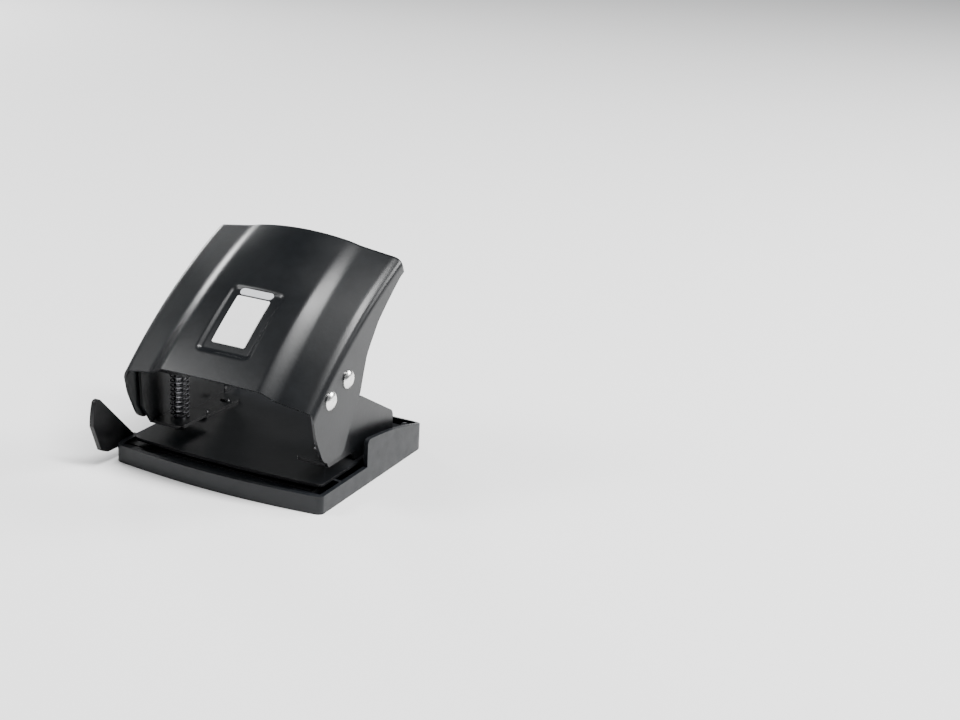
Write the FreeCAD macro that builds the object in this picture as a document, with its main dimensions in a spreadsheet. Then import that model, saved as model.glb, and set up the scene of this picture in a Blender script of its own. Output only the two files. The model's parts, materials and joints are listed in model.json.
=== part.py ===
import FreeCAD, Part
import math
import os
import re
import Sketcher
from FreeCAD import Placement, Rotation, Vector

# Two-hole desk punch, modelled at rest with its lever raised.
# Frame: +Z up, +X to the right of the person who feeds the paper, +Y away from that person.
# Origin: midway between the two punch axes, on the plane that the tray stands on.

DIMENSIONS = [
    ("hole_spacing", 80.0, "between the two punch axes"),
    ("hole_size", 5.5, "diameter of a punched hole"),
    ("paper_depth", 12.0, "from the hole axes to the edge of the paper"),
    ("throat_gap", 4.6, "height of the paper slot"),
    # chip tray
    ("tray_width", 112.0, ""),
    ("tray_front", 28.0, "front corners, ahead of the punch axes"),
    ("tray_bow", 4.2, "how far the front wall bows out"),
    ("tray_rear", 67.7, "rear wall, behind the punch axes"),
    ("tray_wall", 2.2, ""),
    ("tray_floor", 1.6, ""),
    ("rear_round", 7.0, "radius of the tray's rear corners"),
    ("front_round", 3.0, "radius of the tray's front corners"),
    ("rim_height", 8.6, "top of the low walls"),
    ("deck_height", 7.2, "ledge between the front wall and the base plate"),
    ("deck_rear", 22.8, "rear edge of that ledge, ahead of the punch axes"),
    ("cheek_start", 12.0, "where the low walls step up"),
    ("cheek_round", 2.5, "corner at the top of the step"),
    ("cheek_height", 21.9, "top of the cheeks at the step"),
    ("cheek_middle", 18.6, "top of the cheeks half way back"),
    ("cheek_end", 11.2, "top of the cheeks and of the rear wall"),
    ("hinge_back", 58.2, "tray hinge axis, behind the punch axes"),
    ("hinge_height", 6.6, ""),
    ("hinge_pin", 3.4, "diameter of the stub pins"),
    ("hinge_ear", 3.4, "radius of the ears that turn on them"),
    ("rib_gauge", 1.6, "ribs under and behind the ruler"),
    ("rib_pitch", 23.0, ""),
    ("post_size", 5.0, "diameter of the posts under the base plate"),
    ("post_side", 44.0, "outer posts, from the middle"),
    ("post_front", 16.0, ""),
    ("post_rear", 49.0, ""),
    # base plate
    ("plate_width", 102.0, ""),
    ("plate_top", 10.6, ""),
    ("plate_gauge", 1.5, ""),
    ("plate_front", 20.4, "front corners, ahead of the punch axes"),
    ("plate_bow", 2.2, ""),
    ("plate_round", 2.5, "radius of the front corners"),
    ("plate_rear", 61.7, ""),
    # side frames
    ("frame_outer", 49.2, "outer face of a side frame, from the middle"),
    ("frame_gauge", 1.5, ""),
    ("frame_top", 41.0, "top edge behind the pivot boss"),
    ("slope_start", 16.4, "where the top edge starts to fall"),
    ("frame_rear", 47.2, ""),
    ("frame_rear_height", 23.7, ""),
    ("frame_round", 4.0, "radius of the upper rear corner"),
    ("wall_front", 18.0, "foremost point of the wall below the boss"),
    ("wall_front_height", 26.0, ""),
    ("boss_radius", 5.6, "sheet round the pivot bore"),
    ("boss_rear", 5.0, "where the boss meets the top edge, ahead of the punch axes"),
    ("web_reach", 18.0, "how far the folded webs reach inwards"),
    ("web_round", 3.0, "radius of the free corners of the webs"),
    ("strip_front", 11.0, "front end of the web that strips the paper"),
    ("guide_front", 6.0, "front end of the web that guides the punch"),
    ("guide_rear", 8.0, ""),
    ("foot_reach", 13.0, "how far the folded feet reach inwards"),
    ("rivet_inset", 8.0, "foot rivets, in from the frame's outer face"),
    ("rivet_front", 21.0, ""),
    ("rivet_rear", 39.0, ""),
    ("rivet_size", 3.1, ""),
    ("rivet_head", 5.4, ""),
    ("rivet_rise", 0.9, ""),
    # pivot, press bar and lever travel
    ("pivot_ahead", 13.9, "pivot axis, ahead of the punch axes"),
    ("pivot_height", 48.5, ""),
    ("bar_radius", 15.76, "from the pivot axis to the press bar axis"),
    ("bar_rise", 21.1, "angle of that line above level, at rest"),
    ("shaft_size", 6.0, "diameter of the pivot shaft and of the press bar"),
    ("running_gap", 0.05, "radial clearance of a running fit"),
    ("shaft_end", 1.2, "how far a shaft stands out of the lever's right side"),
    ("head_size", 8.6, "diameter of the shaft heads"),
    ("head_height", 1.9, ""),
    ("head_rim", 0.6, "straight edge of a head"),
    ("dish_depth", 0.35, "dimple in the middle of a cap"),
    ("washer_size", 9.2, ""),
    # lever
    ("lever_width", 102.0, ""),
    ("lever_gauge", 1.2, ""),
    ("lever_bend", 4.0, "outer radius of the bend between top and side"),
    ("lever_rear", 48.6, "rear end of the long edges, behind the punch axes"),
    ("lever_rear_height", 99.7, ""),
    ("lever_front", 28.2, "front end of the long edges, ahead of the punch axes"),
    ("lever_front_height", 46.4, ""),
    ("lever_crown", 4.1, "rise of the long edges above their chord"),
    ("skirt_depth", 7.5, "height of the skirt across the rear end"),
    ("front_lean", 0.18, "how far the front edge falls back per millimetre of rise"),
    ("ridge_top_rear", 25.0, "half width of the raised panel at the rear"),
    ("ridge_top_front", 27.0, "half width of the raised panel at the front"),
    ("ridge_rise_rear", 5.2, "edge of the raised panel above the long edges"),
    ("ridge_rise_front", 8.4, ""),
    ("ridge_foot_rear", 30.0, "inner edge of the shoulder"),
    ("ridge_foot_front", 33.0, ""),
    ("foot_rise_rear", 3.7, "inner edge of the shoulder above the long edges"),
    ("foot_rise_front", 3.9, ""),
    ("ridge_round", 3.5, "radius along the top and the foot of each ridge"),
    ("panel_crown_rear", 2.6, "rise of the centre line above the panel's edges"),
    ("panel_crown_front", 0.4, ""),
    ("recess_back", 42.5, "rear end of the label recess, along the long edges"),
    ("recess_length", 38.5, ""),
    ("recess_width", 29.0, ""),
    ("recess_round", 3.0, ""),
    ("recess_rise", 7.2, "floor of the recess above the long edges"),
    ("label_start", 5.9, "rear end of the label, from the rear end of the recess"),
    ("label_length", 26.5, ""),
    ("label_width", 17.4, ""),
    ("label_round", 0.8, ""),
    ("strip_start", 1.3, "rear end of the narrow strip behind the label"),
    ("strip_length", 3.7, ""),
    ("strip_round", 1.7, ""),
    ("label_gauge", 0.5, ""),
    # punches, clips and springs
    ("punch_top", 51.1, ""),
    ("punch_relief", 0.3, "punch tip above the slot's ceiling, at rest"),
    ("notch_depth", 1.5, "depth of the V across the cutting end"),
    ("clip_space", 0.15, "between a clip and the web above it, at rest"),
    ("clip_gauge", 0.9, ""),
    ("clip_size", 10.4, ""),
    ("groove_size", 4.2, ""),
    ("spring_wire", 0.8, ""),
    ("spring_size", 8.2, "mean diameter of the coils"),
    ("spring_turns", 9.0, ""),
    # paper guide
    ("ruler_front", 22.0, "front edge, ahead of the punch axes"),
    ("ruler_width", 12.0, ""),
    ("ruler_base", 5.4, "underside of the ruler"),
    ("ruler_gauge", 2.0, ""),
    ("ruler_end", 46.0, "inner end, right of the middle"),
    ("stop_face", 58.2, "paper face of the stop, left of the middle"),
    ("stop_gauge", 2.4, ""),
    ("stop_round", 1.6, ""),
]

# Lower edge of the lever's sides in side view, front to rear: (y, z, corner radius).
LEVER_EDGE = [(-25.5, 34.5, 16), (-18.0, 18.9, 8), (-2.0, 18.9, 6), (12.5, 44.5, 10),
              (17.5, 61.0, 14), (27.5, 74.8, 20), (46.5, 90.5, 4)]

# Paper stop in side view: (y, z), and for its curved front edge also a point on the curve.
STOP_OUTLINE = [("-31", "5"), ("-12", "4.6"), ("-12", "8"), ("-17.6", "13.8"),
                ("-36", "32.8"), ("-38.6", "32.6", "-40.2", "26.4"), ("-40.8", "20.6"),
                ("-35.6", "7")]

ALIASES = {alias for alias, value, note in DIMENSIONS}

doc = FreeCAD.newDocument("HolePunch")
sheet = doc.addObject("Spreadsheet::Sheet", "dims")


def fill_sheet():
    """Write the driving dimensions into the spreadsheet and give each cell its alias."""
    for row, (alias, value, note) in enumerate(DIMENSIONS, start=1):
        sheet.set("A%d" % row, alias)
        sheet.set("B%d" % row, str(value))
        sheet.set("C%d" % row, note)
        sheet.setAlias("B%d" % row, alias)
    doc.recompute()


def size(alias):
    """Number held by a named cell."""
    return float(sheet.get(alias))


def bound(text):
    """Expression on the spreadsheet: every alias in the text gets the sheet's name in front."""
    def qualify(word):
        return "dims." + word.group() if word.group() in ALIASES else word.group()
    return re.sub(r"[a-z_]+", qualify, text)


def number(text):
    """Value of an expression on the spreadsheet."""
    result = sheet.evalExpression(bound(text))
    return float(getattr(result, "Value", result))


# ---------------------------------------------------------------- sketches and features

def new_body(label):
    body = doc.addObject("PartDesign::Body", label)
    body.Label = label
    return body


def new_sketch(body, plane, name, lift="0"):
    """Sketch on one of the body's own origin planes, lifted along the plane's normal."""
    sketch = body.newObject("Sketcher::SketchObject", name)
    support = [item for item in body.Origin.OriginFeatures if item.Role == plane][0]
    sketch.AttachmentSupport = (support, [""])
    sketch.MapMode = "FlatFace"
    sketch.setExpression("AttachmentOffset.Base.z", bound(lift))
    return sketch


def fix_point(sketch, geometry, corner, across, up):
    """Tie a point of the sketch to expressions for its two coordinates."""
    for kind, text in (("DistanceX", across), ("DistanceY", up)):
        index = sketch.addConstraint(Sketcher.Constraint(kind, geometry, corner, number(text)))
        sketch.setExpression("Constraints[%d]" % index, bound(text))


def draw_outline(sketch, corners):
    """Closed outline. A corner is (across, up); two more texts make its next side an arc
    through that middle point. Every point is tied to the spreadsheet."""
    spots = [Vector(number(corner[0]), number(corner[1]), 0) for corner in corners]
    ends = []
    for index, corner in enumerate(corners):
        start = spots[index]
        finish = spots[(index + 1) % len(spots)]
        if len(corner) == 2:
            line = sketch.addGeometry(Part.LineSegment(start, finish))
            ends.append((line, 1, 2))
            continue
        middle = Vector(number(corner[2]), number(corner[3]), 0)
        leftwards = (middle - start).cross(finish - middle).z > 0
        arc_ends = (start, finish) if leftwards else (finish, start)
        arc = sketch.addGeometry(Part.ArcOfCircle(arc_ends[0], middle, arc_ends[1]))
        ends.append((arc, 1, 2) if leftwards else (arc, 2, 1))
        marker = sketch.addGeometry(Part.Point(middle), True)
        fix_point(sketch, marker, 1, corner[2], corner[3])
        sketch.addConstraint(Sketcher.Constraint("PointOnObject", marker, 1, arc))
    for index, corner in enumerate(corners):
        side, first, last = ends[index]
        next_side, next_first, next_last = ends[(index + 1) % len(ends)]
        sketch.addConstraint(Sketcher.Constraint("Coincident", side, last, next_side, next_first))
        fix_point(sketch, side, first, corner[0], corner[1])


def draw_circle(sketch, across, up, diameter):
    centre = Vector(number(across), number(up), 0)
    circle = sketch.addGeometry(Part.Circle(centre, Vector(0, 0, 1), number(diameter) / 2))
    fix_point(sketch, circle, 3, across, up)
    index = sketch.addConstraint(Sketcher.Constraint("Diameter", circle, number(diameter)))
    sketch.setExpression("Constraints[%d]" % index, bound(diameter))


def box_corners(left, right, low, high):
    return [(left, low), (right, low), (right, high), (left, high)]


def pad(body, sketch, length, both_ways=False, backwards=False):
    feature = body.newObject("PartDesign::Pad", sketch.Name + "_pad")
    feature.Profile = sketch
    feature.setExpression("Length", bound(length))
    feature.Midplane = both_ways
    feature.Reversed = backwards
    sketch.Visibility = False
    doc.recompute()
    return feature


def pocket(body, sketch, length, both_ways=False, backwards=False):
    """Pocket that must remove material."""
    before = body.Shape.Volume
    feature = body.newObject("PartDesign::Pocket", sketch.Name + "_pocket")
    feature.Profile = sketch
    feature.setExpression("Length", bound(length))
    feature.Midplane = both_ways
    feature.Reversed = backwards
    sketch.Visibility = False
    doc.recompute()
    if body.Shape.Volume >= before - 0.01:
        raise RuntimeError("%s removes nothing" % feature.Name)
    return feature


def revolve(body, sketch, axis):
    """Full turn of a sketch round one of its own axes, H_Axis or V_Axis."""
    feature = body.newObject("PartDesign::Revolution", sketch.Name + "_turn")
    feature.Profile = sketch
    feature.ReferenceAxis = (sketch, [axis])
    feature.Angle = 360
    sketch.Visibility = False
    doc.recompute()
    return feature


def fillet(body, radius, wanted):
    """Round every edge of the body for which wanted(edge) is true."""
    base = body.Tip
    edges = ["Edge%d" % (index + 1) for index, edge in enumerate(base.Shape.Edges) if wanted(edge)]
    feature = body.newObject("PartDesign::Fillet", "%s_round%d" % (body.Name, len(body.Group)))
    feature.Base = (base, edges)
    feature.Radius = radius
    doc.recompute()
    return feature


def runs_along(edge, direction, tolerance=1e-6):
    """Whether a straight edge runs along the direction."""
    if edge.Curve.TypeId != "Part::GeomLine":
        return False
    return abs(abs(edge.Curve.Direction.dot(direction)) - 1) < tolerance


def new_feature(label, shape):
    """Sub-part whose shape comes from Part's own functions."""
    feature = doc.addObject("Part::Feature", label)
    feature.Label = label
    feature.Shape = shape
    feature.Placement = Placement()
    return feature


X_AXIS = Vector(1, 0, 0)
Z_AXIS = Vector(0, 0, 1)
SIDES = {"left": -1, "right": 1}
# Share of the panel's half width that the wide rounding of its crown takes up.
CROWN_SHARE = 0.8
# Lengths that only have to be ample: below the long edges, and above the panel.
SIDE_REACH = 100.0
ABOVE_PANEL = 18.0


# ---------------------------------------------------------------- chip tray

def inner_tray_outline(front):
    """Outline inside the tray's walls, from the line named by the front expression."""
    half = "tray_width / 2 - tray_wall"
    return box_corners("-(%s)" % half, half, front, "tray_rear - tray_wall")


def build_chip_tray():
    """Moulded base: low walls in front, cheeks behind, a bin for the chips between them."""
    tray = new_body("chip_tray")
    foot = new_sketch(tray, "XY_Plane", "tray_outline")
    bow = ("-tray_width / 2", "-tray_front", "0", "-tray_front - tray_bow")
    draw_outline(foot, [bow, ("tray_width / 2", "-tray_front"),
                        ("tray_width / 2", "tray_rear"), ("-tray_width / 2", "tray_rear")])
    pad(tray, foot, "cheek_height")
    cut_tray_profile(tray)
    fillet(tray, size("rear_round"), lambda edge: runs_along(edge, Z_AXIS)
           and edge.CenterOfMass.y > size("tray_rear") - 1)
    fillet(tray, size("front_round"), lambda edge: runs_along(edge, Z_AXIS)
           and edge.CenterOfMass.y < -size("tray_front") + 1)
    hollow_tray(tray)
    add_ruler_channel(tray)
    add_plate_posts(tray)
    add_hinge_pins(tray)
    return tray


def cut_tray_profile(tray):
    """Side view: low walls, a step, then cheeks whose tops curve down to the rear."""
    profile = new_sketch(tray, "YZ_Plane", "tray_profile")
    draw_outline(profile, [
        ("-tray_front - 2 * tray_bow", "rim_height"),
        ("cheek_start", "rim_height"),
        ("cheek_start", "cheek_height - cheek_round",
         "cheek_start + 0.3 * cheek_round", "cheek_height - 0.3 * cheek_round"),
        ("cheek_start + cheek_round", "cheek_height",
         "(cheek_start + tray_rear) / 2", "cheek_middle"),
        ("tray_rear + 1", "cheek_end"),
        ("tray_rear + 1", "cheek_height + 5"),
        ("-tray_front - 2 * tray_bow", "cheek_height + 5")])
    pocket(tray, profile, "tray_width + 2", both_ways=True)


def hollow_tray(tray):
    """Shallow recess behind the front wall, then the deep bin behind the ledge."""
    recess = new_sketch(tray, "XY_Plane", "tray_recess", "deck_height")
    half = "tray_width / 2 - tray_wall"
    front = "-tray_front + tray_wall"
    draw_outline(recess, [
        ("-(%s)" % half, front, "0", "-tray_front - tray_bow + tray_wall"),
        (half, front), (half, "tray_rear - tray_wall"), ("-(%s)" % half, "tray_rear - tray_wall")])
    pocket(tray, recess, "cheek_height", backwards=True)
    chips = new_sketch(tray, "XY_Plane", "chip_bin", "tray_floor")
    draw_outline(chips, inner_tray_outline("-deck_rear"))
    pocket(tray, chips, "cheek_height", backwards=True)
    inner_rear = size("tray_rear") - size("tray_wall")
    fillet(tray, size("rear_round") - size("tray_wall"), lambda edge: runs_along(edge, Z_AXIS)
           and abs(edge.CenterOfMass.y - inner_rear) < 0.01)


def add_ruler_channel(tray):
    """Cross ribs that carry the ruler, a rib behind it, and its slot in the left wall."""
    half = "tray_width / 2 - tray_wall"
    for step in range(-2, 3):
        rib = new_sketch(tray, "XY_Plane", "ruler_rib%d" % (step + 3))
        edges = ["%d * rib_pitch %s rib_gauge / 2" % (step, sign) for sign in "-+"]
        draw_outline(rib, box_corners(edges[0], edges[1], "-deck_rear - 0.5",
                                      "-ruler_front + ruler_width + 0.3"))
        pad(tray, rib, "ruler_base - 0.1")
    fence = new_sketch(tray, "XY_Plane", "ruler_fence")
    draw_outline(fence, box_corners("-(%s)" % half, half, "-ruler_front + ruler_width + 0.2",
                                    "-ruler_front + ruler_width + 0.2 + rib_gauge"))
    pad(tray, fence, "plate_top - plate_gauge")
    slot = new_sketch(tray, "YZ_Plane", "ruler_slot", "-tray_width / 2 - 1")
    draw_outline(slot, box_corners("-ruler_front - 0.15", "-ruler_front + ruler_width + 0.15",
                                   "ruler_base - 0.1", "ruler_base + ruler_gauge + 0.2"))
    pocket(tray, slot, "tray_wall + 2", backwards=True)


def add_plate_posts(tray):
    """Posts in the bin that the base plate stands on."""
    posts = new_sketch(tray, "XY_Plane", "plate_posts")
    for across in ("-post_side", "0", "post_side"):
        for along in ("post_front", "post_rear"):
            draw_circle(posts, across, along, "post_size")
    pad(tray, posts, "plate_top - plate_gauge")


def add_hinge_pins(tray):
    """Stub pins inside the cheeks, which the base plate's ears turn on."""
    for name, side in SIDES.items():
        start = "%d * (tray_width / 2 - tray_wall + 0.5)" % side
        pin = new_sketch(tray, "YZ_Plane", "hinge_pin_" + name, start)
        draw_circle(pin, "hinge_back", "hinge_height", "hinge_pin")
        pad(tray, pin, "tray_width / 2 - tray_wall - plate_width / 2 + plate_gauge + 0.4",
            backwards=side > 0)


# ---------------------------------------------------------------- base plate and frames

def build_base_plate():
    """Pressed steel plate that the paper lies on, with the two die holes."""
    plate = new_body("base_plate")
    outline = new_sketch(plate, "XY_Plane", "plate_outline", "plate_top - plate_gauge")
    half = "plate_width / 2"
    draw_outline(outline, [
        ("-" + half, "-plate_front", "0", "-plate_front - plate_bow"), (half, "-plate_front"),
        (half, "plate_rear"), ("-" + half, "plate_rear")])
    pad(plate, outline, "plate_gauge")
    fillet(plate, size("plate_round"), lambda edge: runs_along(edge, Z_AXIS)
           and edge.CenterOfMass.y < 0)
    dies = new_sketch(plate, "XY_Plane", "die_holes", "plate_top + 1")
    for across in ("-hole_spacing / 2", "hole_spacing / 2"):
        draw_circle(dies, across, "0", "hole_size + 2 * running_gap")
    for across, along in rivet_places():
        draw_circle(dies, across, along, "rivet_size + 2 * running_gap")
    pocket(plate, dies, "plate_gauge + 2")
    for name, side in SIDES.items():
        add_hinge_ear(plate, name, side)
    return plate


def add_hinge_ear(plate, name, side):
    """Ear folded down from the plate's side, bored for the tray's stub pin."""
    ear = new_sketch(plate, "YZ_Plane", "hinge_ear_" + name, "%d * plate_width / 2" % side)
    draw_outline(ear, [
        ("hinge_back - hinge_ear", "plate_top"), ("hinge_back - hinge_ear", "hinge_height"),
        ("hinge_back + hinge_ear", "hinge_height", "hinge_back", "hinge_height - hinge_ear"),
        ("hinge_back + hinge_ear", "plate_top")])
    pad(plate, ear, "plate_gauge", backwards=side > 0)
    bore = new_sketch(plate, "YZ_Plane", "hinge_bore_" + name, "%d * (plate_width / 2 + 1)" % side)
    draw_circle(bore, "hinge_back", "hinge_height", "hinge_pin + 4 * running_gap")
    pocket(plate, bore, "plate_gauge + 2", backwards=side < 0)


def rivet_places():
    """The four rivets that hold the frames' feet to the base plate."""
    inset = "(frame_outer - rivet_inset)"
    return [(sign + inset, along) for sign in ("-", "") for along in ("rivet_front", "rivet_rear")]


def build_frame(name, side):
    """Pressed side frame: a wall with three folded webs. The middle web strips the paper,
    the upper one guides the punch, and the foot is riveted to the base plate."""
    frame = new_body("frame_" + name)
    wall = new_sketch(frame, "YZ_Plane", "wall_" + name, "%d * frame_outer" % side)
    draw_outline(wall, frame_wall_corners())
    draw_circle(wall, "-pivot_ahead", "pivot_height", "shaft_size + 2 * running_gap")
    pad(frame, wall, "frame_gauge", backwards=side > 0)
    fillet(frame, size("frame_round"), lambda edge: runs_along(edge, X_AXIS)
           and edge.CenterOfMass.y > size("frame_rear") - 5 and edge.CenterOfMass.z > 15)
    for web in frame_webs():
        add_web(frame, name, side, *web)
    round_fold_ends(frame, side)
    return frame


def frame_webs():
    """The folded webs: name, underside, reach inwards, front and rear end."""
    ceiling = "plate_top + throat_gap"
    return [("strip_web_", ceiling, "web_reach", "-strip_front", "paper_depth"),
            ("guide_web_", "frame_top - frame_gauge", "web_reach", "-guide_front", "guide_rear"),
            ("foot_web_", "plate_top", "foot_reach", "paper_depth + 2", "frame_rear - 1")]


def add_web(frame, name, side, label, low, reach, front, rear):
    """Folded web: the foot has its two rivet holes, each of the others a bore for the punch."""
    web = new_sketch(frame, "XY_Plane", label + name, low)
    edges = ["%d * (frame_outer - %s)" % (side, reach), "%d * (frame_outer - 0.2)" % side]
    draw_outline(web, box_corners(edges[0], edges[1], front, rear))
    if label == "foot_web_":
        for along in ("rivet_front", "rivet_rear"):
            draw_circle(web, "%d * (frame_outer - rivet_inset)" % side, along,
                        "rivet_size + 2 * running_gap")
    else:
        draw_circle(web, "%d * hole_spacing / 2" % side, "0", "hole_size + 2 * running_gap")
    pad(frame, web, "frame_gauge")


def frame_wall_corners():
    """Wall in side view: throat below, pivot boss above, long slope down to the rear."""
    ceiling = "plate_top + throat_gap"
    return [
        ("-strip_front", ceiling), ("paper_depth", ceiling), ("paper_depth", "plate_top"),
        ("frame_rear", "plate_top"), ("frame_rear", "frame_rear_height"),
        ("slope_start", "frame_top"), ("-boss_rear", "frame_top"),
        ("-pivot_ahead + boss_radius * 0.96", "pivot_height - boss_radius * 0.28",
         "-pivot_ahead", "pivot_height + boss_radius"),
        ("-pivot_ahead - boss_radius * 0.96", "pivot_height - boss_radius * 0.28"),
        ("-wall_front", "wall_front_height")]


def round_fold_ends(frame, side):
    """Round the free corners of the webs."""
    inner = [side * (size("frame_outer") - size(reach)) for reach in ("web_reach", "foot_reach")]
    fillet(frame, size("web_round"), lambda edge: runs_along(edge, Z_AXIS)
           and min(abs(edge.CenterOfMass.x - line) for line in inner) < 0.01)


def build_frame_rivets():
    """Four identical rivets: a shank through foot and plate with a head at each end."""
    shank = size("rivet_size") / 2
    low = size("plate_top") - size("plate_gauge")
    high = size("plate_top") + size("frame_gauge")
    head = size("rivet_head") / 2
    rise = size("rivet_rise")
    solids = []
    for across, along in rivet_places():
        outline = Part.makePolygon([
            Vector(0, 0, low - rise), Vector(head * 0.7, 0, low - rise),
            Vector(head, 0, low), Vector(shank, 0, low), Vector(shank, 0, high),
            Vector(head, 0, high), Vector(head * 0.7, 0, high + rise),
            Vector(0, 0, high + rise), Vector(0, 0, low - rise)])
        rivet = Part.Face(outline).revolve(Vector(0, 0, 0), Z_AXIS, 360)
        rivet.translate(Vector(number(across), number(along), 0))
        solids.append(rivet)
    return new_feature("frame_rivets", Part.makeCompound(solids))


# ---------------------------------------------------------------- shafts

def build_shaft(label, along, height):
    """Steel shaft along X: a head on the left, and an end on the right that takes the cap."""
    shaft = new_body(label)
    left = "(-lever_width / 2)"
    end = "(lever_width / 2 + shaft_end)"
    outline = new_sketch(shaft, "XY_Plane", label + "_outline")
    draw_outline(outline, [
        (left, "0"), (end, "0"), (end, "shaft_size / 2 - 0.4"),
        (end + " - 0.4", "shaft_size / 2"), (left, "shaft_size / 2")])
    revolve(shaft, outline, "H_Axis")
    head = new_sketch(shaft, "XY_Plane", label + "_head")
    draw_outline(head, [
        (left + " - head_height", "0"), (left, "0"), (left, "head_size / 2"),
        (left + " - head_rim", "head_size / 2",
         left + " - head_height * 0.78", "head_size * 0.36"),
        (left + " - head_height", "head_size * 0.14")])
    revolve(shaft, head, "H_Axis")
    shaft.setExpression("Placement.Base.y", bound(along))
    shaft.setExpression("Placement.Base.z", bound(height))
    return shaft


def build_cap(label, along, height):
    """Cap pressed on the right end of a shaft, domed and dished in the middle."""
    cap = new_body(label)
    right = "(lever_width / 2)"
    outline = new_sketch(cap, "XY_Plane", label + "_outline")
    draw_outline(outline, [
        (right, "shaft_size / 2"), (right, "head_size / 2"),
        (right + " + head_rim", "head_size / 2",
         right + " + head_height * 0.78", "head_size * 0.36"),
        (right + " + head_height", "head_size * 0.2"),
        (right + " + head_height - dish_depth", "0"),
        (right + " + shaft_end", "0"), (right + " + shaft_end", "shaft_size / 2")])
    revolve(cap, outline, "H_Axis")
    cap.setExpression("Placement.Base.y", bound(along))
    cap.setExpression("Placement.Base.z", bound(height))
    return cap


def build_pivot_washers():
    """Two thin washers that keep the lever's sides off the frames."""
    gap = size("lever_width") / 2 - size("lever_gauge") - size("frame_outer")
    gauge = gap - 0.1
    centre = Vector(0, -size("pivot_ahead"), size("pivot_height"))
    solids = []
    for side in SIDES.values():
        start = centre + X_AXIS * (side * (size("frame_outer") + 0.05) - (gauge if side < 0 else 0))
        disc = Part.makeCylinder(size("washer_size") / 2, gauge, start, X_AXIS)
        bore = Part.makeCylinder(size("shaft_size") / 2 + 0.1, gauge, start, X_AXIS)
        solids.append(disc.cut(bore))
    return new_feature("pivot_washers", Part.makeCompound(solids))


# ---------------------------------------------------------------- lever

def lever_arc():
    """Centre and radius, in the YZ plane, of the arc that the lever's long edges follow."""
    rear = Vector(0, size("lever_rear"), size("lever_rear_height"))
    front = Vector(0, -size("lever_front"), size("lever_front_height"))
    chord = rear - front
    rise = size("lever_crown")
    radius = (chord.Length ** 2 / 4 + rise ** 2) / (2 * rise)
    outward = X_AXIS.cross(chord).normalize()
    centre = (rear + front) / 2 + outward * (rise - radius)
    return centre, radius, (rear - centre), (front - centre)


def lever_station(share):
    """Point on the long edges' arc and its outward normal; 0 is the rear end, 1 the front."""
    centre, radius, to_rear, to_front = lever_arc()
    swing = to_rear.getAngle(to_front) * share
    outward = Rotation(X_AXIS, math.degrees(swing)).multVec(to_rear).normalize()
    return centre + outward * radius, outward


def lever_length():
    centre, radius, to_rear, to_front = lever_arc()
    return radius * to_rear.getAngle(to_front)


def blend(start, finish, share):
    return start + (finish - start) * share


def lever_profile(share):
    """Corners (across, rise, radius) of the pressing's outer skin at a station, left to right.
    The panel's centre line is one more corner, rounded so widely that it makes the crown."""
    top = blend(size("ridge_top_rear"), size("ridge_top_front"), share)
    top_rise = blend(size("ridge_rise_rear"), size("ridge_rise_front"), share)
    foot = blend(size("ridge_foot_rear"), size("ridge_foot_front"), share)
    foot_rise = blend(size("foot_rise_rear"), size("foot_rise_front"), share)
    crown = blend(size("panel_crown_rear"), size("panel_crown_front"), share)
    half = size("lever_width") / 2
    right = [(top, top_rise, size("ridge_round")), (foot, foot_rise, size("ridge_round")),
             (half, 0.0, size("lever_bend")), (half, -SIDE_REACH, 0)]
    left = [(-across, rise, radius) for across, rise, radius in reversed(right)]
    peak = crown / (1 - CROWN_SHARE / 2)
    return left + [(0.0, top_rise + peak, CROWN_SHARE * top * top / peak)] + right


def inset(corners, skin):
    """The same outline moved inwards by the skin: bends get tighter, hollows wider."""
    spots = [Vector(across, rise, 0) for across, rise, radius in corners]
    ways = [(last - first).normalize() for first, last in zip(spots, spots[1:])]
    moved = []
    for index, spot in enumerate(spots):
        before = ways[max(index - 1, 0)]
        after = ways[min(index, len(ways) - 1)]
        inwards = before.cross(Z_AXIS) + after.cross(Z_AXIS)
        spot = spot + inwards * (skin / (1 + before.dot(after)))
        growth = skin if before.cross(after).z > 0 else -skin
        radius = corners[index][2]
        moved.append((spot.x, spot.y, radius + growth if radius else 0))
    return moved


def lever_section(share, skin):
    """Closed cross-section of the pressing at a station, its skin pulled in by the gauge."""
    origin, outward = lever_station(share)
    corners = inset(lever_profile(share), skin)
    return rounded_wire(corners, lambda across, rise: origin + X_AXIS * across + outward * rise)


def lever_block(skin):
    """Long arched bar with the pressing's cross-section, longer than the lever at both ends."""
    shares = [-0.15 + 0.325 * step for step in range(5)]
    return Part.makeLoft([lever_section(share, skin) for share in shares], True, False)


def rounded_wire(corners, place):
    """Closed wire from flat (u, v, radius) corners, which the place function puts in space."""
    edges = []
    previous = None
    first = None
    for index, (u, v, radius) in enumerate(corners):
        spot = Vector(u, v, 0)
        before = (Vector(*corners[index - 1][:2], 0) - spot).normalize()
        after = (Vector(*corners[(index + 1) % len(corners)][:2], 0) - spot).normalize()
        half_turn = before.getAngle(after) / 2
        reach = radius / math.tan(half_turn) if radius else 0.0
        start = spot + before * reach
        finish = spot + after * reach
        if previous is None:
            first = start
        else:
            edges.append((previous, start))
        if radius:
            inward = (before + after).normalize()
            middle = spot + inward * (radius / math.sin(half_turn) - radius)
            edges.append((start, middle, finish))
        previous = finish
    edges.append((previous, first))
    shapes = []
    for spots in edges:
        points = [place(spot.x, spot.y) for spot in spots]
        curve = Part.LineSegment(*points) if len(points) == 2 else Part.Arc(*points)
        shapes.append(curve.toShape())
    return Part.Wire(shapes)


def in_side_view(along, up):
    return Vector(0, along, up)


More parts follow.
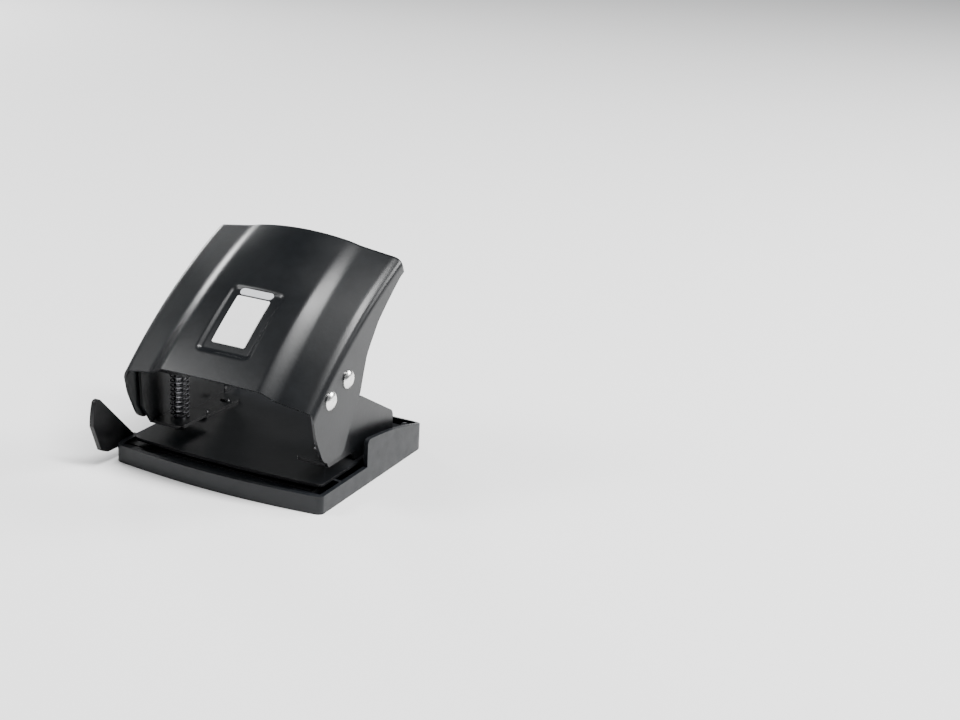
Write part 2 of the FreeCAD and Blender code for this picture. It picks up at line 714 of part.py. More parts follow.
def lever_side_view():
    """Outline of the lever in side view, closed well above the panel."""
    rear, rear_out = lever_station(0.0)
    front, front_out = lever_station(1.0)
    skirt = rear - rear_out * size("skirt_depth")
    above_rear = rear + rear_out * ABOVE_PANEL
    rearwards = front_out.cross(X_AXIS)
    above_front = front + (front_out + rearwards * size("front_lean")) * ABOVE_PANEL
    return ([(above_front.y, above_front.z, 0), (front.y, front.z, 0)] + LEVER_EDGE
            + [(skirt.y, skirt.z, 0), (above_rear.y, above_rear.z, 0)])


def side_prism(corners, half_width):
    """Solid between two planes across X with the given side view."""
    wire = rounded_wire(corners, in_side_view)
    wire.translate(X_AXIS * -half_width)
    return Part.Face(wire).extrude(X_AXIS * (2 * half_width))


def lever_hollow():
    """Space inside the pressing: open below and in front, closed by the rear skirt."""
    gauge = size("lever_gauge")
    rear, rear_out = lever_station(gauge / lever_length())
    front, front_out = lever_station(1.12)
    corners = [rear + rear_out * ABOVE_PANEL, rear - rear_out * SIDE_REACH,
               front - front_out * SIDE_REACH, front + front_out * ABOVE_PANEL]
    prism = side_prism([(spot.y, spot.z, 0) for spot in corners], size("lever_width") / 2 - gauge)
    dish = recess_slab(-gauge, size("recess_length") + 2 * gauge,
                       size("recess_width") + 2 * gauge, ABOVE_PANEL, -gauge,
                       size("recess_round") + gauge)
    return lever_block(gauge).common(prism).cut(dish)


def recess_slab(start, length, width, gauge, low, radius):
    """Rounded slab bent to the lever's arc: its rear end lies a start distance from that of the
    recess, and its underside a low distance above the floor of the recess."""
    centre, arc_radius, to_rear, to_front = lever_arc()
    half_length = size("recess_length") / 2
    middle = size("recess_back") + half_length * arc_radius / (arc_radius + size("recess_rise"))
    origin, outward = lever_station(middle / lever_length())
    slab = Part.makeBox(width, length, 4 * ABOVE_PANEL,
                        Vector(-width / 2, start - half_length, -2 * ABOVE_PANEL))
    slab = slab.makeFillet(radius, [edge for edge in slab.Edges if runs_along(edge, Z_AXIS)])
    turn = Rotation(X_AXIS * -1, outward.cross(X_AXIS) * -1, outward, "ZYX")
    slab = slab.transformed(Placement(origin, turn).toMatrix(), True)
    floor = arc_radius + size("recess_rise") + low
    reach = X_AXIS * width
    inner = Part.makeCylinder(floor, 2 * width, centre - reach, X_AXIS)
    outer = Part.makeCylinder(floor + gauge, 2 * width, centre - reach, X_AXIS)
    return slab.common(outer).cut(inner)


def lever_bores():
    """Holes in both sides for the pivot shaft and the press bar."""
    half = size("lever_width")
    shafts = [pivot_axis(), bar_axis()]
    radius = size("shaft_size") / 2
    return [Part.makeCylinder(radius, 2 * half, spot - X_AXIS * half, X_AXIS) for spot in shafts]


def pivot_axis():
    return Vector(0, -size("pivot_ahead"), size("pivot_height"))


def bar_axis():
    angle = math.radians(size("bar_rise"))
    return pivot_axis() + Vector(0, math.cos(angle), math.sin(angle)) * size("bar_radius")


def build_lever():
    """One pressing: raised middle panel, sloping shoulders, deep sides and a rear skirt."""
    outside = lever_block(0).common(side_prism(lever_side_view(), size("lever_width")))
    shell = outside.cut(lever_hollow())
    recess = recess_slab(0.0, size("recess_length"), size("recess_width"), ABOVE_PANEL, 0.0,
                         size("recess_round"))
    shell = shell.cut([recess] + lever_bores())
    return new_feature("lever", shell.removeSplitter())


def build_labels():
    """Blank label and the narrow strip behind it, both lying on the floor of the recess."""
    features = []
    for label, name in (("label_plate", "label"), ("label_strip", "strip")):
        slab = recess_slab(size(name + "_start"), size(name + "_length"), size("label_width"),
                           size("label_gauge"), 0.0, size(name + "_round"))
        features.append(new_feature(label, slab))
    return features


# ---------------------------------------------------------------- punches and springs

def clip_low():
    """Underside of the retaining clip, just below the guide web."""
    return number("frame_top - frame_gauge - clip_space - clip_gauge")


def build_punch(name, side):
    """Ground steel punch: domed top, clip groove, and a hollow V across the cutting end."""
    punch = new_body("punch_" + name)
    outline = new_sketch(punch, "XZ_Plane", "punch_outline_" + name)
    radius = "(hole_size / 2)"
    low = "plate_top + throat_gap + punch_relief"
    clip = "frame_top - frame_gauge - clip_space"
    draw_outline(outline, [
        ("0", low), (radius, low), (radius, clip + " - clip_gauge"),
        ("groove_size / 2", clip + " - clip_gauge"), ("groove_size / 2", clip), (radius, clip),
        (radius, "punch_top - 1.2", radius + " * 0.8", "punch_top - 0.4"),
        (radius + " * 0.3", "punch_top"), ("0", "punch_top")])
    revolve(punch, outline, "V_Axis")
    notch = new_sketch(punch, "YZ_Plane", "punch_notch_" + name)
    draw_outline(notch, [
        ("-hole_size * 0.6", low + " - 1"), ("hole_size * 0.6", low + " - 1"),
        ("0.3", low + " + notch_depth"), ("-0.3", low + " + notch_depth")])
    pocket(punch, notch, "hole_size + 2", both_ways=True)
    punch.setExpression("Placement.Base.x", bound("%d * hole_spacing / 2" % side))
    return punch


def build_clip(name, side):
    """Retaining clip: an open ring snapped into the punch's groove."""
    clip = new_body("clip_" + name)
    ring = new_sketch(clip, "XY_Plane", "clip_ring_" + name,
                      "frame_top - frame_gauge - clip_space - clip_gauge")
    draw_circle(ring, "0", "0", "clip_size")
    draw_circle(ring, "0", "0", "groove_size")
    pad(clip, ring, "clip_gauge")
    mouth = new_sketch(clip, "XY_Plane", "clip_mouth_" + name, "frame_top")
    draw_outline(mouth, box_corners("-groove_size * 0.4", "groove_size * 0.4",
                                    "-clip_size", "-groove_size * 0.3"))
    pocket(clip, mouth, "frame_top / 2")
    clip.setExpression("Placement.Base.x", bound("%d * hole_spacing / 2" % side))
    return clip


def build_spring(name, side):
    """Compression spring between the strip web and the clip."""
    wire = size("spring_wire") / 2
    coil = size("spring_size") / 2
    low = size("plate_top") + size("throat_gap") + size("frame_gauge") + wire
    high = clip_low() - wire
    turns = size("spring_turns")
    helix = Part.makeHelix((high - low) / turns, high - low, coil)
    section = Part.Wire(Part.makeCircle(wire, Vector(coil, 0, 0), Vector(0, 1, 0)))
    spring = Part.Wire(helix.Edges).makePipeShell([section], True, True)
    spring.translate(Vector(side * size("hole_spacing") / 2, 0, low))
    return new_feature("spring_" + name, Part.makeSolid(Part.Shell(spring.Faces)))


# ---------------------------------------------------------------- paper guide

def build_paper_guide():
    """Sliding ruler with the tall stop that the paper's side edge is pushed against."""
    guide = new_body("paper_guide")
    ruler = new_sketch(guide, "XY_Plane", "ruler_outline", "ruler_base")
    draw_outline(ruler, box_corners("-stop_face - stop_gauge / 2", "ruler_end",
                                    "-ruler_front", "-ruler_front + ruler_width"))
    pad(guide, ruler, "ruler_gauge")
    stop = new_sketch(guide, "YZ_Plane", "stop_outline", "-stop_face")
    draw_outline(stop, STOP_OUTLINE)
    pad(guide, stop, "stop_gauge", backwards=True)
    fillet(guide, size("stop_round"), lambda edge: runs_along(edge, X_AXIS)
           and edge.CenterOfMass.y < -20 and edge.Length < 3)
    return guide


# ---------------------------------------------------------------- assembly

def check_and_write(parts):
    """Refuse a failed or empty sub-part, then write each one to its own file."""
    doc.recompute()
    for item in doc.Objects:
        if "Invalid" in item.State or "Error" in item.State:
            raise RuntimeError("%s has failed: %s" % (item.Label, item.State))
    os.makedirs("parts", exist_ok=True)
    for item in parts:
        if item.Shape.isNull() or not item.Shape.isValid() or not item.Shape.Solids:
            raise RuntimeError("%s has no valid shape" % item.Label)
        item.Shape.exportStep("parts/%s.step" % item.Label)


def build_all():
    fill_sheet()
    parts = [build_chip_tray(), build_base_plate(), build_frame_rivets()]
    pivot = ("-pivot_ahead", "pivot_height")
    bar = ("-pivot_ahead + bar_radius * cos(bar_rise * 1deg)",
           "pivot_height + bar_radius * sin(bar_rise * 1deg)")
    for label, (along, height) in (("pivot", pivot), ("press_bar", bar)):
        shaft_label = "pivot_shaft" if label == "pivot" else "press_bar"
        parts.append(build_shaft(shaft_label, along, height))
        parts.append(build_cap(label + "_cap", along, height))
    parts += [build_pivot_washers(), build_lever()] + build_labels()
    for name, side in SIDES.items():
        parts += [build_frame(name, side), build_punch(name, side)]
        parts += [build_clip(name, side), build_spring(name, side)]
    parts.append(build_paper_guide())
    check_and_write(parts)


build_all()
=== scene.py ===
import json
import math

import bmesh
import bpy
from mathutils import Matrix, Vector


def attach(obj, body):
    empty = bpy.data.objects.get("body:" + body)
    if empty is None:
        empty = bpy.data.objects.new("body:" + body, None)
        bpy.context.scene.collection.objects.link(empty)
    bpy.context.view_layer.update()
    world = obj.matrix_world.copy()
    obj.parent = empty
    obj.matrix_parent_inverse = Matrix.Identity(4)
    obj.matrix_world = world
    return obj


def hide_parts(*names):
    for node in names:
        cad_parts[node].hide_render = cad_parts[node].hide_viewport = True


# Two-hole desk punch. Metres, same frame as the CAD: +Z up, +Y away from the person who
# feeds the paper, origin on the desk midway between the punch axes.

MM = 0.001

# Camera: where it stands, and the turns that frame the object as the photograph does.
CAMERA_SPOT = Vector((393.3, -586.0, 306.7)) * MM
CAMERA_YAW = 25.34
CAMERA_PITCH = 19.53
CAMERA_ROLL = 3.13
CAMERA_LENS = 60.88

# Lever, as in the CAD. Pairs run from the rear end to the front.
LEVER_HALF = 51.0 * MM
LEVER_GAUGE = 1.2 * MM
LEVER_REAR = Vector((0.0, 48.6, 99.7)) * MM
LEVER_FRONT = Vector((0.0, -28.2, 46.4)) * MM
LEVER_CROWN = 4.1 * MM
SKIRT_DEPTH = 7.5 * MM
SIDE_ROUND = 4.0 * MM
REAR_ROUND = 2.4 * MM
FRONT_LEAN = 0.18
LEAN_START = 0.6
RIDGE_TOP = (25.0 * MM, 27.0 * MM)
RIDGE_RISE = (5.2 * MM, 8.4 * MM)
RIDGE_FOOT = (30.0 * MM, 33.0 * MM)
FOOT_RISE = (3.7 * MM, 3.9 * MM)
PANEL_CROWN = (2.6 * MM, 0.4 * MM)
RIDGE_EASE = 1.9 * MM
RECESS_BACK = 42.5 * MM
RECESS_LENGTH = 37.5 * MM
RECESS_HALF = 14.5 * MM
RECESS_RISE = 7.2 * MM
RECESS_CORNER = 3.0 * MM
RECESS_WALL = 2.4 * MM
GRID_STEP = 0.7 * MM
# Lower edge of the lever's side from the rear skirt to the front, as (y, z, corner radius).
SIDE_EDGE = [(46.5, 90.5, 4), (27.5, 74.8, 20), (17.5, 61.0, 14), (12.5, 44.5, 10),
             (-2.0, 18.9, 6), (-18.0, 18.9, 8), (-25.5, 34.5, 16)]

# Lever mesh: distances of the first rows from a rounded edge, rows below them, and samples
# along an arc and along the front edge. Columns near the front follow the front edge's bend.
EDGE_ROWS = [0.0, 0.5 * MM, 1.0 * MM, 1.6 * MM, 2.3 * MM, 3.1 * MM, 4.0 * MM, 5.0 * MM]
LOWER_ROWS = 26
ARC_STEPS = 6
FRONT_SAMPLES = 60
FRONT_PULL = 3
FRONT_EASE = 6.0
JOIN_DISTANCE = 0.02 * MM
SHEET_ROUND = 0.25 * MM
SHEET_ROUND_ANGLE = 60.0

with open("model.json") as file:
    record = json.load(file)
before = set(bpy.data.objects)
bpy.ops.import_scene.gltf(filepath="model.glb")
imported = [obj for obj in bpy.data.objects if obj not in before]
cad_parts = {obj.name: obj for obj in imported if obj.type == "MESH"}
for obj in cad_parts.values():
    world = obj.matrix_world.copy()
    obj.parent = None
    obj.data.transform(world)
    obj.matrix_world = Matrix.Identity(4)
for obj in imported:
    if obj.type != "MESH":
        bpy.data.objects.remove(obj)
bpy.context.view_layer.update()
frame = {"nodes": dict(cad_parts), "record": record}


# ---------------------------------------------------------------- mesh helpers

def mesh_object(name, mesh_data):
    """New object holding a finished bmesh, smooth shaded."""
    mesh = bpy.data.meshes.new(name)
    bmesh.ops.recalc_face_normals(mesh_data, faces=mesh_data.faces)
    mesh_data.to_mesh(mesh)
    mesh_data.free()
    mesh.shade_smooth()
    item = bpy.data.objects.new(name, mesh)
    bpy.context.scene.collection.objects.link(item)
    return item


def add_bevel(item, width, segments=3, angle=35.0):
    """Rounded edges with normals kept flat on the faces between them."""
    bevel = item.modifiers.new("round_edges", "BEVEL")
    bevel.width = width
    bevel.segments = segments
    bevel.limit_method = "ANGLE"
    bevel.angle_limit = math.radians(angle)
    bevel.harden_normals = True
    bevel.use_clamp_overlap = True


def soften(item, width, segments=3, angle=35.0):
    """Rounded edges on a CAD node: its split corners are joined first, by modifiers only."""
    weld = item.modifiers.new("join_corners", "WELD")
    weld.merge_threshold = 2e-6
    add_bevel(item, width, segments, angle)
    normals = item.modifiers.new("even_normals", "WEIGHTED_NORMAL")
    normals.keep_sharp = True
    for polygon in item.data.polygons:
        polygon.use_smooth = True


def smoothstep(value):
    value = min(max(value, 0.0), 1.0)
    return value * value * (3.0 - 2.0 * value)


def mix(start, finish, share):
    return start + (finish - start) * share


# ---------------------------------------------------------------- materials

def new_material(name, color, roughness, metallic=0.0, specular=0.5, coat=0.0, coat_rough=0.1):
    """Material with a Principled shader, its uniform values on the shader's own sockets."""
    material = bpy.data.materials.new(name)
    material.use_nodes = True
    shader = material.node_tree.nodes["Principled BSDF"]
    shader.inputs["Base Color"].default_value = (*color, 1.0)
    shader.inputs["Roughness"].default_value = roughness
    shader.inputs["Metallic"].default_value = metallic
    shader.inputs["Specular IOR Level"].default_value = specular
    shader.inputs["Coat Weight"].default_value = coat
    shader.inputs["Coat Roughness"].default_value = coat_rough
    return material, material.node_tree, shader


def add_noise(tree, scale, detail=3.0, stretch=(1.0, 1.0, 1.0), rough=0.5):
    """Noise over object space, in cycles per metre."""
    place = tree.nodes.new("ShaderNodeTexCoord")
    shape = tree.nodes.new("ShaderNodeMapping")
    shape.inputs["Scale"].default_value = stretch
    noise = tree.nodes.new("ShaderNodeTexNoise")
    noise.inputs["Scale"].default_value = scale
    noise.inputs["Detail"].default_value = detail
    noise.inputs["Roughness"].default_value = rough
    tree.links.new(place.outputs["Object"], shape.inputs["Vector"])
    tree.links.new(shape.outputs["Vector"], noise.inputs["Vector"])
    return noise.outputs["Fac"]


def add_range(tree, source, low, high, start=0.3, finish=0.7):
    """Remap a factor from start..finish to low..high."""
    remap = tree.nodes.new("ShaderNodeMapRange")
    remap.inputs["From Min"].default_value = start
    remap.inputs["From Max"].default_value = finish
    remap.inputs["To Min"].default_value = low
    remap.inputs["To Max"].default_value = high
    tree.links.new(source, remap.inputs["Value"])
    return remap.outputs["Result"]


def add_color_mix(tree, factor, first, second):
    """Colour between two sockets or plain colours."""
    blend = tree.nodes.new("ShaderNodeMix")
    blend.data_type = "RGBA"
    tree.links.new(factor, blend.inputs[0])
    for socket, color in ((blend.inputs[6], first), (blend.inputs[7], second)):
        if isinstance(color, tuple):
            socket.default_value = (*color, 1.0)
        else:
            tree.links.new(color, socket)
    return blend.outputs[2]


def add_bump(tree, shader, source, height, strength=1.0, below=None):
    """Bump of the given height in metres, on top of another bump if one is given."""
    bump = tree.nodes.new("ShaderNodeBump")
    bump.inputs["Strength"].default_value = strength
    bump.inputs["Distance"].default_value = height
    tree.links.new(source, bump.inputs["Height"])
    if below is not None:
        tree.links.new(below, bump.inputs["Normal"])
    tree.links.new(bump.outputs["Normal"], shader.inputs["Normal"])
    return bump.outputs["Normal"]


def add_edge_wear(tree, low=0.54, high=0.62):
    """Factor that is 1 on convex edges of a dense mesh."""
    geometry = tree.nodes.new("ShaderNodeNewGeometry")
    return add_range(tree, geometry.outputs["Pointiness"], 0.0, 1.0, low, high)


def lacquer_material(name, color, roughness, spread):
    """Semi-gloss paint on steel: faint orange peel, uneven sheen, a little dust and wear."""
    material, tree, shader = new_material(name, color, roughness, specular=0.32, coat=0.12,
                                          coat_rough=0.2)
    sheen = add_noise(tree, 38.0, 4.0)
    tree.links.new(add_range(tree, sheen, roughness - spread, roughness + spread),
                   shader.inputs["Roughness"])
    dust = add_range(tree, add_noise(tree, 210.0, 6.0, rough=0.65), 0.0, 1.0, 0.42, 0.72)
    lighter = tuple(channel * 1.45 + 0.001 for channel in color)
    tinted = add_color_mix(tree, dust, color, lighter)
    bare = tuple(channel * 3.0 + 0.008 for channel in color)
    worn = add_color_mix(tree, add_edge_wear(tree), tinted, bare)
    tree.links.new(worn, shader.inputs["Base Color"])
    peel = add_bump(tree, shader, add_noise(tree, 620.0, 2.0), 0.00006, 0.35)
    add_bump(tree, shader, add_noise(tree, 2600.0, 2.0), 0.00002, 0.25, peel)
    return material


def plastic_material(name, color, roughness, grain):
    """Moulded plastic with a fine spark-eroded texture and slight colour variation."""
    material, tree, shader = new_material(name, color, roughness, specular=0.3)
    cloud = add_range(tree, add_noise(tree, 55.0, 4.0), 0.0, 1.0)
    lighter = tuple(channel * 1.3 + 0.001 for channel in color)
    tree.links.new(add_color_mix(tree, cloud, color, lighter), shader.inputs["Base Color"])
    shine = add_noise(tree, 160.0, 3.0)
    tree.links.new(add_range(tree, shine, roughness - 0.05, roughness + 0.07),
                   shader.inputs["Roughness"])
    coarse = add_bump(tree, shader, add_noise(tree, grain, 3.0), 0.00005, 0.5)
    add_bump(tree, shader, add_noise(tree, grain * 2.7, 2.0), 0.00003, 0.35, coarse)
    return material


def metal_material(name, color, roughness, stretch, lines=900.0):
    """Bare metal with grinding or drawing lines along one direction."""
    material, tree, shader = new_material(name, color, roughness, metallic=1.0)
    streaks = add_noise(tree, lines, 4.0, stretch, 0.6)
    tree.links.new(add_range(tree, streaks, roughness - 0.07, roughness + 0.1),
                   shader.inputs["Roughness"])
    darker = tuple(channel * 0.78 for channel in color)
    stain = add_range(tree, add_noise(tree, 260.0, 5.0), 0.0, 1.0, 0.45, 0.8)
    tree.links.new(add_color_mix(tree, stain, color, darker), shader.inputs["Base Color"])
    add_bump(tree, shader, streaks, 0.00002, 0.25)
    return material


def film_material(name, color, roughness):
    """Glossy printed film: nearly even, with a soft waviness and faint smudges."""
    material, tree, shader = new_material(name, color, roughness, specular=0.5)
    smudge = add_range(tree, add_noise(tree, 120.0, 5.0), 0.0, 1.0, 0.4, 0.75)
    darker = tuple(channel * 0.96 for channel in color)
    tree.links.new(add_color_mix(tree, smudge, color, darker), shader.inputs["Base Color"])
    tree.links.new(add_range(tree, add_noise(tree, 90.0, 3.0), roughness - 0.04, roughness + 0.1),
                   shader.inputs["Roughness"])
    add_bump(tree, shader, add_noise(tree, 300.0, 2.0), 0.00003, 0.15)
    return material


def make_materials():
    across = (0.05, 1.0, 1.0)
    upright = (1.0, 1.0, 0.04)
    return {
        "black_lacquer": lacquer_material("lever_lacquer", (0.0022, 0.0029, 0.0038), 0.34, 0.05),
        "black_steel": lacquer_material("plate_paint", (0.0030, 0.0034, 0.0042), 0.36, 0.06),
        "tray_plastic": plastic_material("tray_plastic", (0.0035, 0.0045, 0.0060), 0.38, 1500.0),
        "guide_plastic": plastic_material("guide_plastic", (0.0030, 0.0030, 0.0035), 0.36, 2100.0),
        "nickel": metal_material("nickel_plate", (0.86, 0.86, 0.84), 0.22, across),
        "plain_steel": metal_material("zinc_steel", (0.62, 0.63, 0.64), 0.38, across),
        "ground_steel": metal_material("ground_steel", (0.20, 0.20, 0.21), 0.34, upright),
        "spring_steel": metal_material("spring_steel", (0.06, 0.06, 0.065), 0.42, across),
        "label_white": film_material("white_film", (0.90, 0.90, 0.90), 0.30),
        "label_grey": film_material("grey_film", (0.55, 0.56, 0.58), 0.34),
    }


# ---------------------------------------------------------------- lever

def lever_arc():
    """Centre, radius and half turn, in the YZ plane, of the arc that the long edges follow."""
    chord = LEVER_REAR - LEVER_FRONT
    radius = (chord.length ** 2 / 4 + LEVER_CROWN ** 2) / (2 * LEVER_CROWN)
    outward = Vector((1, 0, 0)).cross(chord).normalized()
    centre = (LEVER_REAR + LEVER_FRONT) / 2 + outward * (LEVER_CROWN - radius)
    start = math.atan2(LEVER_REAR.z - centre.z, LEVER_REAR.y - centre.y)
    finish = math.atan2(LEVER_FRONT.z - centre.z, LEVER_FRONT.y - centre.y)
    return centre, radius, start, finish


ARC_CENTRE, ARC_RADIUS, ARC_START, ARC_FINISH = lever_arc()
LEVER_LENGTH = ARC_RADIUS * (ARC_FINISH - ARC_START)


def lever_point(across, along, rise):
    """Point from lever coordinates: across, along from the rear end, and above the arc."""
    angle = ARC_START + along / ARC_RADIUS
    reach = ARC_RADIUS + rise
    return Vector((across, ARC_CENTRE.y + reach * math.cos(angle),
                   ARC_CENTRE.z + reach * math.sin(angle)))


def lever_place(y, z):
    """Lever coordinates (along, rise) of a point in side view."""
    reach = Vector((y - ARC_CENTRE.y, z - ARC_CENTRE.z))
    return ((math.atan2(reach.y, reach.x) - ARC_START) * ARC_RADIUS, reach.length - ARC_RADIUS)


def eased_kink(distance, change):
    """What a change of slope adds past a kink, eased over a short stretch round it."""
    if distance <= -RIDGE_EASE:
        return 0.0
    if distance >= RIDGE_EASE:
        return change * distance
    return change * (distance + RIDGE_EASE) ** 2 / (4 * RIDGE_EASE)


def panel_height(across, along):
    """Height of the pressed top above the long edges: shoulder, ridge and crowned panel."""
    share = along / LEVER_LENGTH
    top, top_rise = mix(*RIDGE_TOP, share), mix(*RIDGE_RISE, share)
    foot, foot_rise = mix(*RIDGE_FOOT, share), mix(*FOOT_RISE, share)
    crown = mix(*PANEL_CROWN, share)
    distance = abs(across)
    shoulder_slope = foot_rise / (LEVER_HALF - foot)
    ridge_slope = (top_rise - foot_rise) / (foot - top)
    height = shoulder_slope * (LEVER_HALF - distance)
    height += eased_kink(foot - distance, ridge_slope - shoulder_slope)
    height += eased_kink(top - distance, 2 * crown / top - ridge_slope)
    inside = max(top - distance, 0.0)
    return height - crown * (inside / top) ** 2


def recess_share(across, along):
    """1 on the floor of the pressed label recess, 0 outside it, between them on its wall."""
    middle = RECESS_BACK + RECESS_LENGTH / 2
    side = abs(across) - RECESS_HALF + RECESS_CORNER
    end = abs(along - middle) - RECESS_LENGTH / 2 + RECESS_CORNER
    outside = math.hypot(max(side, 0.0), max(end, 0.0)) + min(max(side, end), 0.0)
    return smoothstep((RECESS_CORNER - outside) / RECESS_WALL)


def round_corner(across, along, rise):
    """Move a point of the sharp-edged lever onto the rounded one."""
    stretch = SIDE_ROUND / REAR_ROUND
    behind = min(along, REAR_ROUND) * stretch
    inner = Vector((min(max(across, SIDE_ROUND - LEVER_HALF), LEVER_HALF - SIDE_ROUND),
                    SIDE_ROUND, min(rise, -SIDE_ROUND)))
    offset = Vector((across, behind, rise)) - inner
    if offset.length < 1e-9:
        return across, along, rise
    moved = inner + offset.normalized() * SIDE_ROUND
    return moved.x, max(along - REAR_ROUND, 0.0) + moved.y / stretch, moved.z


def lever_skin(across, along, rise):
    """World position of a point given on the sharp-edged outer skin."""
    x, s, n = round_corner(across, along, rise)
    lean = FRONT_LEAN * smoothstep((s / LEVER_LENGTH - LEAN_START) / (1.0 - LEAN_START))
    s -= lean * panel_height(x, s)
    height = panel_height(x, s)
    if rise > -1e-9:
        height = mix(height, RECESS_RISE, recess_share(x, s))
    return lever_point(x, s, n + height * min(max(1.0 + n / SKIRT_DEPTH, 0.0), 1.0))


def grid_values(start, finish, step, dense_start=False, dense_end=False):
    """Values from start to finish, closer together near a rounded end."""
    low = [start + value for value in EDGE_ROWS] if dense_start else [start]
    high = [finish - value for value in reversed(EDGE_ROWS)] if dense_end else [finish]
    count = max(int(round((high[0] - low[-1]) / step)), 1)
    inside = [mix(low[-1], high[0], index / count) for index in range(1, count)]
    return low + inside + high


def rounded_path(corners):
    """Open path through (y, z, radius) corners in millimetres, with arcs at the corners."""
    path = []
    for index, (y, z, radius) in enumerate(corners):
        spot = Vector((y, z))
        if radius == 0:
            path.append(spot)
            continue
        before = (Vector(corners[index - 1][:2]) - spot).normalized()
        after = (Vector(corners[index + 1][:2]) - spot).normalized()
        turn = before.angle(after)
        reach = radius / math.tan(turn / 2)
        centre = spot + (before + after).normalized() * (radius / math.sin(turn / 2))
        first = spot + before * reach - centre
        last = spot + after * reach - centre
        sweep = first.angle_signed(last)
        for step in range(ARC_STEPS + 1):
            angle = -sweep * step / ARC_STEPS
            path.append(centre + Matrix.Rotation(angle, 2) @ first)
    return path


def resample(path, count):
    """Points spaced evenly by length along a path."""
    lengths = [0.0]
    for first, second in zip(path, path[1:]):
        lengths.append(lengths[-1] + (second - first).length)
    points = []
    segment = 0
    for index in range(count):
        target = lengths[-1] * (index / (count - 1))
        while segment < len(path) - 2 and lengths[segment + 1] < target:
            segment += 1
        span = lengths[segment + 1] - lengths[segment]
        points.append(path[segment].lerp(path[segment + 1], (target - lengths[segment]) / span))
    return points


def side_outline(columns, rows):
    """Lower edge of the side for each column, and its front edge for each row. They meet in the
    middle of the last rounded corner."""
    front = (LEVER_FRONT.y / MM, LEVER_FRONT.z / MM, 0)
    skirt = lever_point(0.0, 0.0, -SKIRT_DEPTH)
    path = rounded_path([(skirt.y / MM, skirt.z / MM, 0)] + SIDE_EDGE + [front])
    places = [Vector(lever_place(spot.x * MM, spot.y * MM)) for spot in path]
    corner = len(places) - 2 - ARC_STEPS // 2
    return resample(places[:corner + 1], columns), resample(places[corner:][::-1], rows)


def build_side_grid(side, alongs):
    """Positions of one side of the lever: row 0 is the long edge, the last its lower edge."""
    below, ahead = side_outline(len(alongs), FRONT_SAMPLES)
    grid = []
    for column, along in enumerate(alongs):
        low = below[column]
        top = Vector((along, 0.0))
        pull = (column / (len(alongs) - 1)) ** FRONT_PULL
        line = []
        reach = (low - top).length
        for row in range(len(EDGE_ROWS) + LOWER_ROWS):
            if row < len(EDGE_ROWS):
                share = EDGE_ROWS[row] / reach
            else:
                start = EDGE_ROWS[-1] / reach
                share = mix(start, 1.0, (row - len(EDGE_ROWS) + 1) / LOWER_ROWS)
            spot = top.lerp(low, share)
            straight = Vector((LEVER_LENGTH, 0.0)).lerp(ahead[-1], share)
            curved = ahead[min(int(share * (len(ahead) - 1)), len(ahead) - 1)]
            spot += (curved - straight) * pull * min(1.0, share * FRONT_EASE)
            line.append(lever_skin(side * LEVER_HALF, spot.x, min(spot.y, 0.0)))
        grid.append(line)
    return grid


def add_patch(mesh, grid):
    """Quads over a grid of positions."""
    verts = [[mesh.verts.new(spot) for spot in line] for line in grid]
    for first, second in zip(verts, verts[1:]):
        for index in range(len(first) - 1):
            mesh.faces.new((first[index], first[index + 1], second[index + 1], second[index]))


def build_lever(materials):
    """Pressed lever: one dense skin with true radii, thickened inwards like the sheet it is."""
    mesh = bmesh.new()
    acrosses = grid_values(-LEVER_HALF, LEVER_HALF, GRID_STEP, True, True)
    alongs = grid_values(0.0, LEVER_LENGTH, GRID_STEP, True, False)
    add_patch(mesh, [[lever_skin(x, s, 0.0) for s in alongs] for x in acrosses])
    drops = EDGE_ROWS + [mix(EDGE_ROWS[-1], SKIRT_DEPTH, row / LOWER_ROWS)
                         for row in range(1, LOWER_ROWS + 1)]
    add_patch(mesh, [[lever_skin(x, 0.0, -drop) for drop in drops] for x in acrosses])
    for side in (-1, 1):
        add_patch(mesh, build_side_grid(side, alongs))
    bmesh.ops.remove_doubles(mesh, verts=mesh.verts, dist=JOIN_DISTANCE)
    lever = mesh_object("lever_pressing", mesh)
    sheet = lever.modifiers.new("sheet", "SOLIDIFY")
    sheet.thickness = LEVER_GAUGE
    sheet.offset = -1.0
    sheet.use_even_offset = True
    add_bevel(lever, SHEET_ROUND, 2, SHEET_ROUND_ANGLE)
    lever.data.materials.append(materials["black_lacquer"])
    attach(lever, "lever_body")
    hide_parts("lever")


# ---------------------------------------------------------------- CAD nodes

# Width in millimetres of the rounding on each node's edges; nodes left out keep theirs.
EDGE_SIZES = {
    "chip_tray": 0.55, "base_plate": 0.3, "frame_left": 0.3, "frame_right": 0.3,
    "frame_rivets": 0.12, "pivot_washers": 0.08, "label_plate": 0.12, "label_strip": 0.12,
    "paper_guide": 0.45, "clip_left": 0.1, "clip_right": 0.1,
}


def dress_cad_nodes(materials):
    """Give every carried-over CAD node its material and small rounded edges."""
    for entry in frame["record"]["subparts"]:
        node = frame["nodes"][entry["node"]]
        node.data.materials.clear()
        node.data.materials.append(materials[entry["material_slot"]])
        if entry["node"] in EDGE_SIZES:
            soften(node, EDGE_SIZES[entry["node"]] * MM)


# ---------------------------------------------------------------- stage

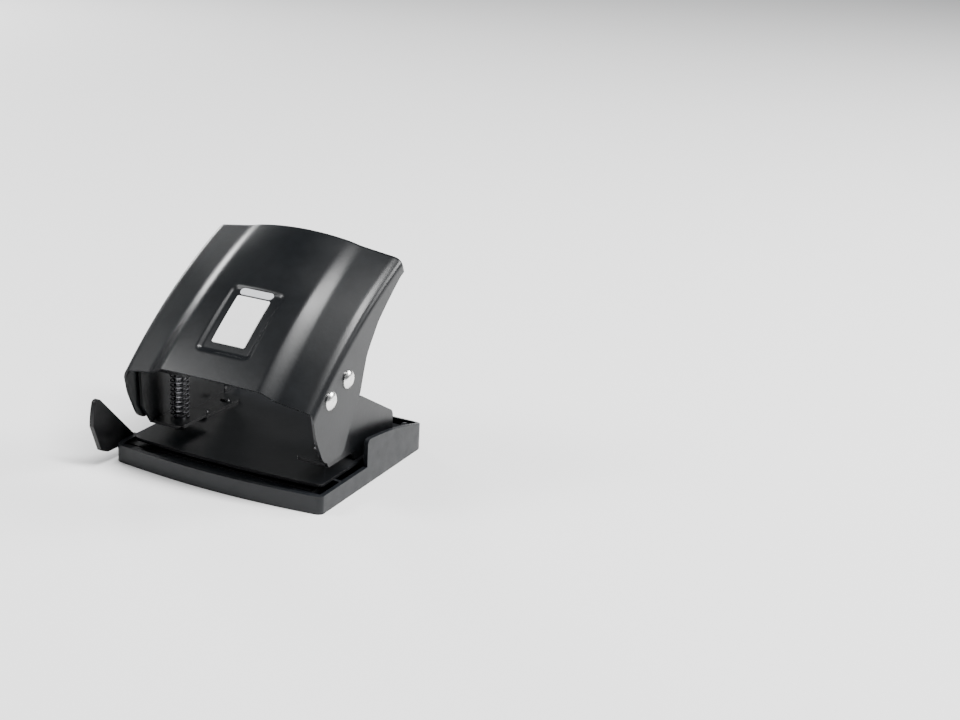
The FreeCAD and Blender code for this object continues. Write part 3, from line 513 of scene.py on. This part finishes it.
def build_stage():
    """Pale floor and the faint light of the room."""
    bpy.ops.mesh.primitive_plane_add(size=6.0, location=(0, 0, 0))
    floor = bpy.context.object
    floor.name = "floor"
    material = new_material("floor", (0.94, 0.94, 0.94), 0.7)[0]
    floor.data.materials.append(material)
    world = bpy.data.worlds.new("studio")
    world.use_nodes = True
    world.node_tree.nodes["Background"].inputs["Color"].default_value = (0.92, 0.96, 1.0, 1.0)
    world.node_tree.nodes["Background"].inputs["Strength"].default_value = 0.13
    bpy.context.scene.world = world


def add_area_light(name, spot, aim, width, height, power):
    light = bpy.data.lights.new(name, "AREA")
    light.shape = "RECTANGLE"
    light.size = width
    light.size_y = height
    light.energy = power
    item = bpy.data.objects.new(name, light)
    item.location = spot
    item.rotation_euler = (aim - spot).to_track_quat("-Z", "Y").to_euler()
    bpy.context.scene.collection.objects.link(item)


def build_lights():
    """Softboxes whose reflections run along the ridges and bends and leave the panel dark."""
    aim = Vector((0.0, 0.02, 0.05))
    add_area_light("overhead_right", Vector((0.66, 0.1, 1.8)), aim, 0.3, 1.6, 80.0)
    add_area_light("front_left", Vector((-1.3, -0.75, 1.2)), aim, 0.7, 0.7, 22.0)
    add_area_light("left_low", Vector((-1.5, 1.0, 0.55)), aim, 0.5, 0.35, 13.0)
    add_area_light("right_back", Vector((1.3, 1.2, 0.9)), aim, 0.8, 0.6, 34.0)


def build_camera():
    """Camera at the photograph's viewing angle, aimed beside the object to frame it alike."""
    yaw = math.radians(CAMERA_YAW)
    pitch = math.radians(CAMERA_PITCH)
    forward = Vector((-math.sin(yaw) * math.cos(pitch), math.cos(yaw) * math.cos(pitch),
                      -math.sin(pitch)))
    right = forward.cross(Vector((0, 0, 1))).normalized()
    turn = Matrix.Rotation(-math.radians(CAMERA_ROLL), 3, forward)
    right = turn @ right
    up = right.cross(forward)
    data = bpy.data.cameras.new("camera")
    data.lens = CAMERA_LENS
    data.sensor_width = 36.0
    data.clip_start = 0.01
    camera = bpy.data.objects.new("camera", data)
    axes = Matrix((right, up, -forward)).transposed()
    camera.matrix_world = Matrix.Translation(CAMERA_SPOT) @ axes.to_4x4()
    bpy.context.scene.collection.objects.link(camera)
    bpy.context.scene.camera = camera


materials = make_materials()
build_lever(materials)
dress_cad_nodes(materials)
build_stage()
build_lights()
build_camera()
